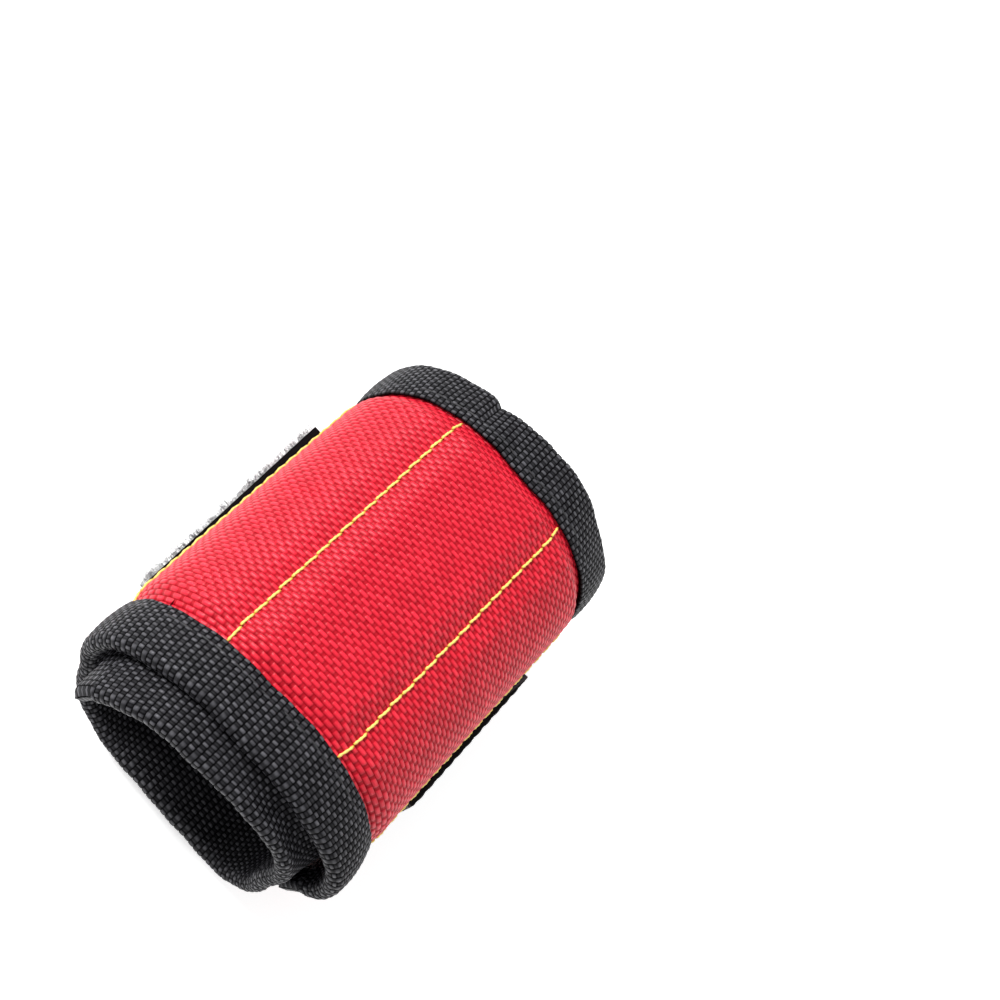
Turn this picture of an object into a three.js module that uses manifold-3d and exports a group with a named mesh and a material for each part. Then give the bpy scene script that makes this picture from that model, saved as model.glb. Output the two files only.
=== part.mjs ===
// Magnetic wristband: a padded strap with three magnet pockets, wound nearly twice round a wrist-sized
// oval and held by a hook tab. It lies on that tab. Millimetres.
// X runs along the arm towards the hand, Z is up through the middle pocket, and the origin is the middle
// of the tab face that it lies on.
import * as THREE from 'three';
import { mergeVertices } from 'three/addons/utils/BufferGeometryUtils.js';
import Module from 'manifold-3d';

const wasm = await Module();
wasm.setup();

// the oval that the band is wound on: a flat top, round shoulders, short straight sides and a flat floor
const WRIST_HALF = 25;
const CROWN_RADIUS = 19.4;
const FLOOR_RADIUS = 14;
const SIDE_DROP = 5.4;

// thickness of each layer, and the ease left between sewn layers
const CLOTH = 0.6;
const EASE = 0.2;
const FILLER = 1;
const CARRIER = 2.2;
const TAPE = 0.7;
const LOOP = 1.5;
const HOOK = 1.8;
const LAP_GAP = 0.3;

// widths along the arm
const RED_HALF = 34;
const BINDING = 11;
const SLOPE = 4;
const LAP_SHIFT = 8.8;
const LOOP_WIDTH = 50;
const LOOP_ASIDE = 1;
const TAB_WIDTH = 38;

// lengths round the wrist; the pocket pitch is measured on the red face, the others on the oval
const POCKET_PITCH = 29.5;
const STITCH_SLOPE = 3.2;
const INNER_END = 5;
const CLIMB_CLEAR = 3;
const TAIL = 12;
const END_BINDING = 7;
const TAB_FROM_STITCH = 2.2;
const LOOP_FROM_STITCH = 4;
const TAB_SHORT_OF_STITCH = 16;
const SLIT = 0.15;

const POCKETS = 3;
const MAGNETS = 5;
const MAGNET_PITCH = 11.7;
const MAGNET_RADIUS = 5;
const MAGNET_THICK = 1.6;
const HOLE_EASE = 0.3;
const STITCH = 3.3;
const THREAD = 0.35;
const THREAD_ASIDE = 0.65;

// heights through the band, measured outwards from the wrist face of the lining
const LINING_TOP = CLOTH + EASE;
const STRAP_THICK = LINING_TOP + FILLER + EASE + CLOTH;
const POCKET_THICK = LINING_TOP + CARRIER + EASE + CLOTH;
const BINDING_TOP = LINING_TOP + CLOTH + EASE + TAPE;
const BINDING_LOW = EASE + TAPE;
const LAP_PITCH = STRAP_THICK + BINDING_LOW + LAP_GAP;
const LOOP_LOW = STRAP_THICK + EASE;
const TAB_ON_LOOP = LOOP_LOW + LOOP + EASE;
const TAB_ON_TAIL = LAP_PITCH + BINDING_TOP + EASE;
const BAND_HALF = RED_HALF + BINDING;
const CLOTH_HALF = BAND_HALF - TAPE - EASE;
const CORE_HALF = RED_HALF - SLOPE - EASE;

// the oval as runs of [length, radius], from its left side up over the top; radius 0 is straight
const quarter = (radius) => [(radius * Math.PI) / 2, radius];
const RUNS = [
  quarter(CROWN_RADIUS),
  [2 * (WRIST_HALF - CROWN_RADIUS), 0],
  quarter(CROWN_RADIUS),
  [SIDE_DROP, 0],
  quarter(FLOOR_RADIUS),
  [2 * (WRIST_HALF - FLOOR_RADIUS), 0],
  quarter(FLOOR_RADIUS),
  [SIDE_DROP, 0],
];
const runEnd = (count) => RUNS.slice(0, count).reduce((sum, run) => sum + run[0], 0);
const ROUND = runEnd(RUNS.length);
const FLOOR_END = runEnd(6);
const LIFT = SIDE_DROP + FLOOR_RADIUS + TAB_ON_LOOP + HOOK;

// the point of the oval at a length round it, with the heading of the band there
function ovalAt(length) {
  let left = ((length % ROUND) + ROUND) % ROUND;
  let y = WRIST_HALF;
  let z = LIFT;
  let heading = Math.PI / 2;
  for (const [run, radius] of RUNS) {
    const step = Math.min(left, run);
    const turn = radius > 0 ? step / radius : 0;
    if (radius > 0) {
      y += radius * (Math.sin(heading + turn) - Math.sin(heading));
      z -= radius * (Math.cos(heading + turn) - Math.cos(heading));
    } else {
      y += step * Math.cos(heading);
      z += step * Math.sin(heading);
    }
    heading += turn;
    left -= step;
    if (left <= 0) break;
  }
  return { y, z, heading };
}

// the length on the oval under a length on the red face, both from the middle of the top
const FLAT_HALF = WRIST_HALF - CROWN_RADIUS;
const FACE_RADIUS = CROWN_RADIUS + LAP_PITCH + POCKET_THICK;
function underFace(face) {
  const past = Math.max(Math.abs(face) - FLAT_HALF, 0);
  return Math.sign(face) * (Math.abs(face) - past + (past * CROWN_RADIUS) / FACE_RADIUS);
}
const TOP = ROUND + runEnd(1) + FLAT_HALF;
const stitchAt = (k) => TOP + underFace(POCKET_PITCH * (k - (POCKETS + 2) / 2));
const TAIL_END = stitchAt(POCKETS + 1) + TAIL;
const TAB_START = stitchAt(POCKETS + 1) + TAB_FROM_STITCH;
const TAB_FOLD = TAIL_END + 1.5;
const TAB_TIP = ROUND + FLOOR_END + 1;
const TAB_END = 2 * ROUND - TAB_SHORT_OF_STITCH;
const LOOP_START = TAIL_END - ROUND + 4;
const LOOP_END = stitchAt(1) - LOOP_FROM_STITCH;

const smooth = THREE.MathUtils.smoothstep;
// the first lap lies on the wrist and climbs over its own end on the left side; it starts nearer the elbow
// and runs askew, so that the second lap is square to the arm
const bandRise = (s) => LAP_PITCH * smooth(s, FLOOR_END, ROUND + INNER_END - CLIMB_CLEAR);
const bandShift = (s) => LAP_SHIFT * (Math.min(s / ROUND, 1) - 1);
// the tab lies on the tail, then steps down on to the loop strip
function tabRise(s) {
  const onLoop = bandRise(s - ROUND) + TAB_ON_LOOP;
  return TAB_ON_TAIL + (onLoop - TAB_ON_TAIL) * smooth(s, TAIL_END + 1, TAIL_END + 16);
}
const noShift = () => 0;

// pieces are made flat, as x along the arm, y outwards and z round the wrist, and then wound on
function wind(flat, rise = bandRise, shift = bandShift) {
  const at = flat.getAttribute('position');
  for (let i = 0; i < at.count; i++) {
    const s = at.getZ(i);
    const oval = ovalAt(s);
    const out = at.getY(i) + rise(s);
    const x = at.getX(i) + shift(s);
    at.setXYZ(i, x, oval.y + out * Math.sin(oval.heading), oval.z - out * Math.cos(oval.heading));
  }
  return flat;
}
const steps = (from, to) => Math.max(2, Math.ceil((to - from) / 2.6));

// a plain strip between two widths, heights and lengths
function strip(x0, x1, y0, y1, z0, z1) {
  const flat = new THREE.BoxGeometry(x1 - x0, y1 - y0, z1 - z0, 1, 1, steps(z0, z1));
  return flat.translate((x0 + x1) / 2, (y0 + y1) / 2, (z0 + z1) / 2);
}

// cloth with folds at the given widths, lifted to the height that lies under it
function sheet(widths, z0, z1, lift) {
  const last = widths.length - 1;
  const flat = new THREE.BoxGeometry(last, CLOTH, z1 - z0, last, 1, steps(z0, z1));
  flat.translate(last / 2, CLOTH / 2, (z0 + z1) / 2);
  const at = flat.getAttribute('position');
  for (let i = 0; i < at.count; i++) {
    const x = widths[Math.round(at.getX(i))];
    at.setXYZ(i, x, at.getY(i) + lift(x, at.getZ(i)), at.getZ(i));
  }
  return flat;
}
const SHELL_FOLDS = [-CLOTH_HALF, -RED_HALF, SLOPE - RED_HALF, RED_HALF - SLOPE, RED_HALF, CLOTH_HALF];
// how far the shell has risen from under the binding, from 0 to 1
const risen = (x) => THREE.MathUtils.clamp((RED_HALF - Math.abs(x)) / SLOPE, 0, 1);
// the strap's shell rises from under the end binding as it does from under the long ones
const FILLER_START = INNER_END + END_BINDING + EASE + SLOPE;
function strapLift(x, s) {
  const along = THREE.MathUtils.clamp((s - INNER_END - END_BINDING) / SLOPE, 0, 1);
  return LINING_TOP + (FILLER + EASE) * risen(x) * along;
}
const rowHeight = LINING_TOP + FILLER + EASE;
// a pocket stands high between its two stitch rows and is drawn down to the row height at each
function pocketLift(k) {
  return (x, s) => {
    const edge = Math.min(s - stitchAt(k), stitchAt(k + 1) - s);
    const full = rowHeight + (CARRIER - FILLER) * smooth(edge, 0, STITCH_SLOPE);
    return LINING_TOP + (full - LINING_TOP) * risen(x);
  };
}
// the tail is thin: its shell falls from the last stitch row on to the lining
function tailLift(x, s) {
  const fall = 1 - smooth(s - stitchAt(POCKETS + 1), 0, STITCH_SLOPE);
  return LINING_TOP + (rowHeight - LINING_TOP) * risen(x) * fall;
}

// binding tape folded over a long edge; side is -1 at the elbow and 1 at the hand
function edgeBinding(side, z0, z1) {
  const shape = new THREE.Shape();
  const round = (BINDING_TOP + BINDING_LOW) / 4;
  shape.moveTo(RED_HALF, BINDING_TOP);
  shape.lineTo(RED_HALF, BINDING_TOP - TAPE);
  shape.lineTo(BAND_HALF - TAPE, BINDING_TOP - TAPE);
  shape.lineTo(BAND_HALF - TAPE, -EASE);
  shape.lineTo(RED_HALF, -EASE);
  shape.lineTo(RED_HALF, -BINDING_LOW);
  shape.lineTo(BAND_HALF - round, -BINDING_LOW);
  shape.absarc(BAND_HALF - round, round - BINDING_LOW, round, -Math.PI / 2, 0, false);
  shape.absarc(BAND_HALF - round, BINDING_TOP - round, round, 0, Math.PI / 2, false);
  shape.closePath();
  const flat = new THREE.ExtrudeGeometry(shape, {
    depth: z1 - z0,
    steps: steps(z0, z1),
    curveSegments: 2,
    bevelEnabled: false,
  });
  flat.translate(0, 0, -(z0 + z1) / 2 + z0);
  if (side < 0) flat.rotateY(Math.PI);
  return flat.translate(0, 0, (z0 + z1) / 2);
}

function solidOf(geometry) {
  const plain = geometry.clone();
  plain.deleteAttribute('normal');
  plain.deleteAttribute('uv');
  const merged = mergeVertices(plain, 1e-4);
  const mesh = new wasm.Mesh({
    numProp: 3,
    vertProperties: new Float32Array(merged.getAttribute('position').array),
    triVerts: new Uint32Array(merged.getIndex().array),
  });
  return new wasm.Manifold(mesh);
}
function geometryOf(solid) {
  const mesh = solid.getMesh();
  const geometry = new THREE.BufferGeometry();
  geometry.setAttribute('position', new THREE.BufferAttribute(mesh.vertProperties, 3));
  geometry.setIndex(new THREE.BufferAttribute(mesh.triVerts, 1));
  return geometry;
}
const cut = (from, ...tools) => geometryOf(tools.reduce((left, tool) => left.subtract(solidOf(tool)), solidOf(from)));

// binding tape folded over a short end of the band; way is 1 where the band goes on at greater lengths
function endBinding(end, way) {
  const low = Math.min(end, end + way * END_BINDING);
  const high = Math.max(end, end + way * END_BINDING);
  const mouth = way * (TAPE + EASE);
  const block = strip(-BAND_HALF, BAND_HALF, -BINDING_LOW, BINDING_TOP, low, high);
  const room = strip(
    -BAND_HALF - 1,
    BAND_HALF + 1,
    -EASE,
    BINDING_TOP - TAPE,
    low + Math.max(mouth, -1),
    high + Math.min(mouth, 1),
  );
  return cut(wind(block), wind(room));
}

// a disc standing square to the band, at a place along the arm, a height and a length round the wrist
function discAt(x, out, s, radius, height) {
  const oval = ovalAt(s);
  const disc = new THREE.CylinderGeometry(radius, radius, height, 24);
  disc.rotateX(oval.heading - Math.PI / 2);
  return disc.translate(x, oval.y + out * Math.sin(oval.heading), oval.z - out * Math.cos(oval.heading));
}

// a row of stitches across the band: the thread rises over each stitch and dips into each needle hole
function stitchRow(s, lift) {
  const points = [];
  const count = Math.round((2 * (RED_HALF - 1)) / STITCH);
  const end = RED_HALF - 1;
  for (let i = 0; i <= 2 * count; i++) {
    const x = -end + (end * i) / count;
    const height = i % 2 === 0 ? THREAD : THREAD * 1.6;
    points.push(new THREE.Vector3(x, lift(x, s) + CLOTH + EASE + height, s));
  }
  const path = new THREE.CatmullRomCurve3(points);
  const round = new THREE.Shape().absarc(0, 0, THREAD, 0, 2 * Math.PI, false);
  return new THREE.ExtrudeGeometry(round, {
    steps: 3 * count,
    curveSegments: 3,
    extrudePath: path,
    bevelEnabled: false,
  });
}

const band = new THREE.Group();
band.name = 'magnetic_wristband';
function piece(name, geometry, color, roughness, metalness = 0) {
  const mesh = new THREE.Mesh(geometry, new THREE.MeshStandardMaterial({ color, roughness, metalness }));
  mesh.name = name;
  band.add(mesh);
}
const RED = 0xc8182c;
const BLACK = 0x26262a;
const LINING = 0x1b1b1e;
const FOAM = 0xd8d4c8;
const BOARD = 0x8a8a86;
const NICKEL = 0xb9bcc0;
const YELLOW = 0xf2cc3c;

// cloth, lining and bindings of one stretch of the band
function stretch(name, from, to, lift, bindFrom, bindTo) {
  piece(name + '_shell', wind(sheet(SHELL_FOLDS, from, to, lift)), RED, 0.7);
  piece(name + '_lining', wind(strip(-CLOTH_HALF, CLOTH_HALF, 0, CLOTH, from, to)), LINING, 0.85);
  piece(name + '_binding_elbow', wind(edgeBinding(-1, bindFrom, bindTo)), BLACK, 0.75);
  piece(name + '_binding_hand', wind(edgeBinding(1, bindFrom, bindTo)), BLACK, 0.75);
}

// the strap: the lap on the wrist, from its inner end to the first stitch row
const strapFrom = INNER_END + TAPE + EASE;
const strapTo = stitchAt(1) - SLIT;
stretch('strap', strapFrom, strapTo, strapLift, INNER_END + END_BINDING + EASE, strapTo);
const fillerTop = LINING_TOP + FILLER;
piece('strap_filler', wind(strip(-CORE_HALF, CORE_HALF, LINING_TOP, fillerTop, FILLER_START, strapTo)), FOAM, 0.95);
piece('strap_end_binding', endBinding(INNER_END, 1), BLACK, 0.75);
const loopEdge = -LOOP_ASIDE - LOOP_WIDTH / 2;
const loopFlat = strip(loopEdge, loopEdge + LOOP_WIDTH, LOOP_LOW, LOOP_LOW + LOOP, LOOP_START, LOOP_END);
piece('loop_strip', wind(loopFlat), BLACK, 0.95);

// the three pockets, each with its board and magnets
for (let k = 1; k <= POCKETS; k++) {
  const name = 'pocket_' + k;
  const from = stitchAt(k) + SLIT;
  const to = stitchAt(k + 1) - SLIT;
  stretch(name, from, to, pocketLift(k), from, to);
  const middle = (from + to) / 2;
  const low = stitchAt(k) + STITCH_SLOPE + EASE;
  const high = stitchAt(k + 1) - STITCH_SLOPE - EASE;
  const board = wind(strip(-CORE_HALF, CORE_HALF, LINING_TOP, LINING_TOP + CARRIER, low, high));
  const holes = [];
  for (let m = 1; m <= MAGNETS; m++) {
    const x = MAGNET_PITCH * (m - (MAGNETS + 1) / 2);
    const out = LAP_PITCH + LINING_TOP + MAGNET_THICK / 2;
    piece(name + '_magnet_' + m, discAt(x, out, middle, MAGNET_RADIUS, MAGNET_THICK), NICKEL, 0.3, 1);
    holes.push(discAt(x, out, middle, MAGNET_RADIUS + HOLE_EASE, 4 * CARRIER));
  }
  piece(name + '_carrier', cut(board, ...holes), BOARD, 0.8);
}

// the tail: the short bound end past the last pocket
const tailFrom = stitchAt(POCKETS + 1) + SLIT;
const tailTo = TAIL_END - TAPE - EASE;
stretch('tail', tailFrom, tailTo, tailLift, tailFrom, TAIL_END - END_BINDING - EASE);
piece('tail_end_binding', endBinding(TAIL_END, -1), BLACK, 0.75);

// the hook tab in three stretches: sewn to the tail, across the underside, and the free tip
const tab = (from, to) => wind(strip(-TAB_WIDTH / 2, TAB_WIDTH / 2, 0, HOOK, from, to), tabRise, noShift);
piece('tab_root', tab(TAB_START, TAB_FOLD - SLIT), BLACK, 0.8);
piece('tab_middle', tab(TAB_FOLD + SLIT, TAB_TIP - SLIT), BLACK, 0.8);
piece('tab_tip', tab(TAB_TIP + SLIT, TAB_END), BLACK, 0.8);

// the four yellow stitch rows, each on the wrist-end side of its fold
for (let k = 1; k <= POCKETS + 1; k++) {
  const s = stitchAt(k) - THREAD_ASIDE;
  const lift = k === 1 ? strapLift : pocketLift(k - 1);
  piece('stitch_row_' + k, wind(stitchRow(s, lift)), YELLOW, 0.6);
}

export default band;
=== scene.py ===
import math
import bpy
import numpy as np
from mathutils import Matrix, Vector


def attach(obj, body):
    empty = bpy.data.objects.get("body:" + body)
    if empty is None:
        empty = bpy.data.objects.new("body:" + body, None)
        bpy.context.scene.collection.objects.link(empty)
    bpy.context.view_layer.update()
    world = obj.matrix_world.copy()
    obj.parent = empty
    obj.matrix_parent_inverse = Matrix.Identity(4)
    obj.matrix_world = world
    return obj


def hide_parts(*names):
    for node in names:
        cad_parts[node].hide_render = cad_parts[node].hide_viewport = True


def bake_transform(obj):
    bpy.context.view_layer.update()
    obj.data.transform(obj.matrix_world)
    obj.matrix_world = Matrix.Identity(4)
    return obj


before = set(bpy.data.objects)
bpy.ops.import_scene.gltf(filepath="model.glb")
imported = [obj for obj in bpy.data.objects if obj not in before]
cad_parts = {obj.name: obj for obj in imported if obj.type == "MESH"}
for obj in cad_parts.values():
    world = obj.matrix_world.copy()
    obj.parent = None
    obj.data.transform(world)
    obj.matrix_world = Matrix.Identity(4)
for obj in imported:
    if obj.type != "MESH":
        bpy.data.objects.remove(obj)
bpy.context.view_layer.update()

# Camera: looks down on the middle pocket from above one open end of the band, and is rolled so that the
# band lies from corner to corner of a square picture.
CAMERA_PLACE = (-0.1532, 0.0153, 0.3128)
LENS, SENSOR = 59.7, 36
tilt, aside, roll = math.radians(34.5), math.radians(3.1), math.radians(45.1)
back = Vector((-math.sin(tilt) * math.cos(aside), math.sin(aside), math.cos(tilt) * math.cos(aside)))
level = Vector((1, 0, 0)).cross(back).normalized()
right = math.cos(roll) * level + math.sin(roll) * back.cross(level)
camera = bpy.data.objects.new("camera", bpy.data.cameras.new("camera"))
camera.matrix_world = Matrix.Translation(CAMERA_PLACE) @ Matrix(
    (right, back.cross(right), back)).transposed().to_4x4()
camera.data.lens = LENS
camera.data.sensor_width = SENSOR
bpy.context.scene.collection.objects.link(camera)
bpy.context.scene.camera = camera

# Studio: a white floor that keeps a soft shadow, a large soft lamp over the first pocket, a weaker one
# opposite, and an even white surround.
SURROUND_LIGHT = 0.42
FLOOR_GLOW = 0.6
FLOOR_HALF = 3
LAMP_AIM = Vector((0, 0, 0.03))
bpy.context.scene.view_settings.view_transform = "Standard"


def add_node(tree, kind, **values):
    # a shader node, with its sockets and settings filled in
    node = tree.nodes.new(kind)
    for key, value in values.items():
        if key in node.inputs:
            node.inputs[key].default_value = value
        else:
            setattr(node, key, value)
    return node


def seen_directly(tree):
    # 1 where the camera or a reflection looks at a thing, 0 where the thing lights another
    path = add_node(tree, "ShaderNodeLightPath")
    either = path.outputs["Is Camera Ray"]
    for ray in ("Is Glossy Ray", "Is Transmission Ray"):
        most = add_node(tree, "ShaderNodeMath", operation="MAXIMUM")
        tree.links.new(either, most.inputs[0])
        tree.links.new(path.outputs[ray], most.inputs[1])
        either = most.outputs[0]
    return either


world = bpy.data.worlds.new("surround")
bpy.context.scene.world = world
world.use_nodes = True
tree = world.node_tree
tree.nodes.clear()
surround = add_node(tree, "ShaderNodeBackground", Color=(1, 1, 1, 1), Strength=SURROUND_LIGHT)
white = add_node(tree, "ShaderNodeBackground", Color=(1, 1, 1, 1), Strength=1)
choose = add_node(tree, "ShaderNodeMixShader")
tree.links.new(seen_directly(tree), choose.inputs[0])
tree.links.new(surround.outputs[0], choose.inputs[1])
tree.links.new(white.outputs[0], choose.inputs[2])
tree.links.new(choose.outputs[0], add_node(tree, "ShaderNodeOutputWorld").inputs[0])

floor_mesh = bpy.data.meshes.new("floor")
floor_corners = [(x * FLOOR_HALF, y * FLOOR_HALF, 0) for x, y in ((-1, -1), (1, -1), (1, 1), (-1, 1))]
floor_mesh.from_pydata(floor_corners, [], [(0, 1, 2, 3)])
floor = bpy.data.objects.new("floor", floor_mesh)
bpy.context.scene.collection.objects.link(floor)
floor_paint = bpy.data.materials.new("floor_paint")
floor_paint.use_nodes = True
tree = floor_paint.node_tree
tree.nodes.clear()
matt = add_node(tree, "ShaderNodeBsdfDiffuse", Color=(0.9, 0.9, 0.9, 1))
glow = add_node(tree, "ShaderNodeEmission", Color=(1, 1, 1, 1))
share = add_node(tree, "ShaderNodeMath", operation="MULTIPLY")
share.inputs[1].default_value = FLOOR_GLOW
both = add_node(tree, "ShaderNodeAddShader")
tree.links.new(seen_directly(tree), share.inputs[0])
tree.links.new(share.outputs[0], glow.inputs["Strength"])
tree.links.new(matt.outputs[0], both.inputs[0])
tree.links.new(glow.outputs[0], both.inputs[1])
tree.links.new(both.outputs[0], add_node(tree, "ShaderNodeOutputMaterial").inputs[0])
floor_mesh.materials.append(floor_paint)

for name, place, power, size in (
    ("lamp_over_first_pocket", (-0.05, 0.62, 0.62), 8.8, 0.3),
    ("lamp_opposite", (0.25, -0.70, 0.55), 2.6, 0.8),
):
    lamp = bpy.data.lights.new(name, "AREA")
    lamp.energy = power
    lamp.size = size
    lamp_object = bpy.data.objects.new(name, lamp)
    turned = (LAMP_AIM - Vector(place)).to_track_quat("-Z", "Y").to_matrix().to_4x4()
    lamp_object.matrix_world = Matrix.Translation(place) @ turned
    bpy.context.scene.collection.objects.link(lamp_object)

# Lining: smooth black nylon on the inner side, sewn in at the edges and the stitch rows. The band is one long
# strip, wound more than one and a half times round an oval, so each later piece is laid on this winding too.
# Lengths are millimetres: s round the oval, x along its axis, out from the oval.
MM = 0.001
# the oval, as runs that each have a length and a radius, which is 0 for a straight one
TOP_RADIUS, LOW_RADIUS = 19.4, 14
TOP_CORNER, LOW_CORNER = (TOP_RADIUS * math.pi / 2, TOP_RADIUS), (LOW_RADIUS * math.pi / 2, LOW_RADIUS)
TOP_RUN = (11.2, 0)
SIDE_RUN = (5.4, 0)
FLOOR_RUN = (22, 0)
RUNS = [TOP_CORNER, TOP_RUN, TOP_CORNER, SIDE_RUN, LOW_CORNER, FLOOR_RUN, LOW_CORNER, SIDE_RUN]
START_Y, START_Z = 25.0, 25.7
ROUND = sum(run for run, radius in RUNS)
FLOOR_END = sum(run for run, radius in RUNS[:6])
LAP = 3.8  # from the inner lap out to the outer one
LAP_SHIFT = 8.8  # along the axis, in one round
RISEN_BEFORE_END = 3  # the climb ends this far before the inner end is reached
ROWS = (151.63, 172.83, 197.18, 218.37)
INNER_END, TAIL_END = 5.0, 230.37
BAND_HALF = 45
# how the two long edges lean: place round the oval, reach along it and distance outwards
LEANS_LOW = ((3, 6, -0.6), (75, 13, -3.6), (142, 6, -1.6), (159, 6, 0.9), (214, 8, 2.0))
LEANS_HIGH = ((170, 9, -1.5), (204, 8, -1.8))
LEAN_LOW_FROM, LEAN_HIGH_FROM = 26, 33
TAIL_CURL = -1.2
CURL_FROM = 221
CURL_TO = 230
TAIL_TUCK = -1.6
TUCK_FROM = 219
TUCK_TO = 229
TUCK_EDGE = 37  # the tuck starts this far from the middle, at low x
GROOVE_DEEP = -2.8
GROOVE_PLACE = 51  # round the oval
GROOVE_REACH = 12  # round the oval
GROOVE_X = -39.8
GROOVE_WIDE = 3


def smooth(value, low, high):
    # 0 up to low, 1 from high, and a soft rise between
    t = np.clip((value - low) / (high - low), 0, 1)
    return t * t * (3 - 2 * t)


def oval(s):
    # the point on the oval at a length round it, and the heading there
    left = np.mod(s, ROUND)
    y, z, heading = (np.full_like(left, value) for value in (START_Y, START_Z, math.pi / 2))
    for run, radius in RUNS:
        step = np.clip(left, 0, run)
        left = left - step
        if radius:
            turned = heading + step / radius
            y = y + radius * (np.sin(turned) - np.sin(heading))
            z = z - radius * (np.cos(turned) - np.cos(heading))
            heading = turned
        else:
            y = y + step * np.cos(heading)
            z = z + step * np.sin(heading)
    return y, z, heading


def band_rise(s):
    # the band climbs out over its own inner end, to the outer lap
    return LAP * smooth(s, FLOOR_END, ROUND + INNER_END - RISEN_BEFORE_END)


def band_shift(s):
    # the inner lap runs askew, so that its tape shows past the outer one
    return LAP_SHIFT * (np.minimum(s / ROUND, 1) - 1)


def lean(s, places):
    # how far an edge leans out at a length round the oval
    return sum(far * np.exp(-((s - place) / reach) ** 2) for place, reach, far in places)


def edge_lift(x, s):
    # the edge at low x stands off a little over the sides and tucks in below, where the tail curls in; the
    # inner lap has a groove under the outer lap's edge; the edge at high x leans in over two pockets
    low = TAIL_CURL * smooth(s, CURL_FROM, CURL_TO) + lean(s, LEANS_LOW)
    groove = GROOVE_DEEP * np.exp(
        -((s - GROOVE_PLACE) / GROOVE_REACH) ** 2 - ((x - GROOVE_X) / GROOVE_WIDE) ** 2)
    tuck = TAIL_TUCK * smooth(s, TUCK_FROM, TUCK_TO) * smooth(-x, TUCK_EDGE, BAND_HALF)
    high = lean(s, LEANS_HIGH) * smooth(x, LEAN_HIGH_FROM, BAND_HALF)
    return low * smooth(-x, LEAN_LOW_FROM, BAND_HALF) + groove + tuck + high


def lay(x, out, s, rise=band_rise, shift=band_shift):
    # places on the flat band, brought to where they lie when it is wound
    y, z, heading = oval(s)
    far = out + rise(s) + (edge_lift(x, s) if rise is band_rise else 0)
    return np.stack(np.broadcast_arrays(
        x + shift(s), y + far * np.sin(heading), z - far * np.cos(heading)), -1) * MM


# length along the red face of the band, which is longer than the oval where the band bends
RED_FACE, END_ROOM = 3.2, 0.05
TRACK = np.linspace(-30, 2 * ROUND, 6000)
BEND = np.gradient(np.unwrap(oval(TRACK)[2]), TRACK)
FACE = np.concatenate([[0], np.cumsum((1 + BEND * (band_rise(TRACK) + RED_FACE))[1:] * np.diff(TRACK))])


def spaced(low, high, step, places=(0,)):
    # the places, as shares of a step, in every step between two ends
    steps = np.arange(math.floor(low / step), math.ceil(high / step) + 1)
    every = (steps[:, None] + np.array(places)).ravel() * step
    return every[(every > low + END_ROOM) & (every < high - END_ROOM)]


def stations(start, end, step, places=(0,)):
    # where the rows of a mesh lie round the oval, evenly spaced along the red face
    inside = spaced(*np.interp([start, end], TRACK, FACE), step, places)
    return np.concatenate([[start], np.interp(inside, FACE, TRACK), [end]])


def make_object(name, points, faces, corner_maps, relief, materials, slots=None):
    # a mesh with its maps, its tone for the shaders, mostly painted shade that follows its relief, and sharp
    # edges round its end caps
    mesh = bpy.data.meshes.new(name)
    mesh.from_pydata(points.tolist(), [], faces)
    for label, corners in corner_maps.items():
        mesh.uv_layers.new(name=label).uv.foreach_set("vector", np.asarray(corners, np.float32).ravel())
    mesh.attributes.new("relief", "FLOAT", "POINT").data.foreach_set("value", relief.astype(np.float32))
    for material in materials:
        mesh.materials.append(material)
    if slots is not None:
        mesh.polygons.foreach_set("material_index", slots)
    mesh.shade_smooth()
    for cap in [face for face in mesh.polygons if face.loop_total > 4]:
        for corner in cap.loop_indices:
            mesh.edges[mesh.loops[corner].edge_index].use_edge_sharp = True
    made = bpy.data.objects.new(name, mesh)
    bpy.context.scene.collection.objects.link(made)
    return made


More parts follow.
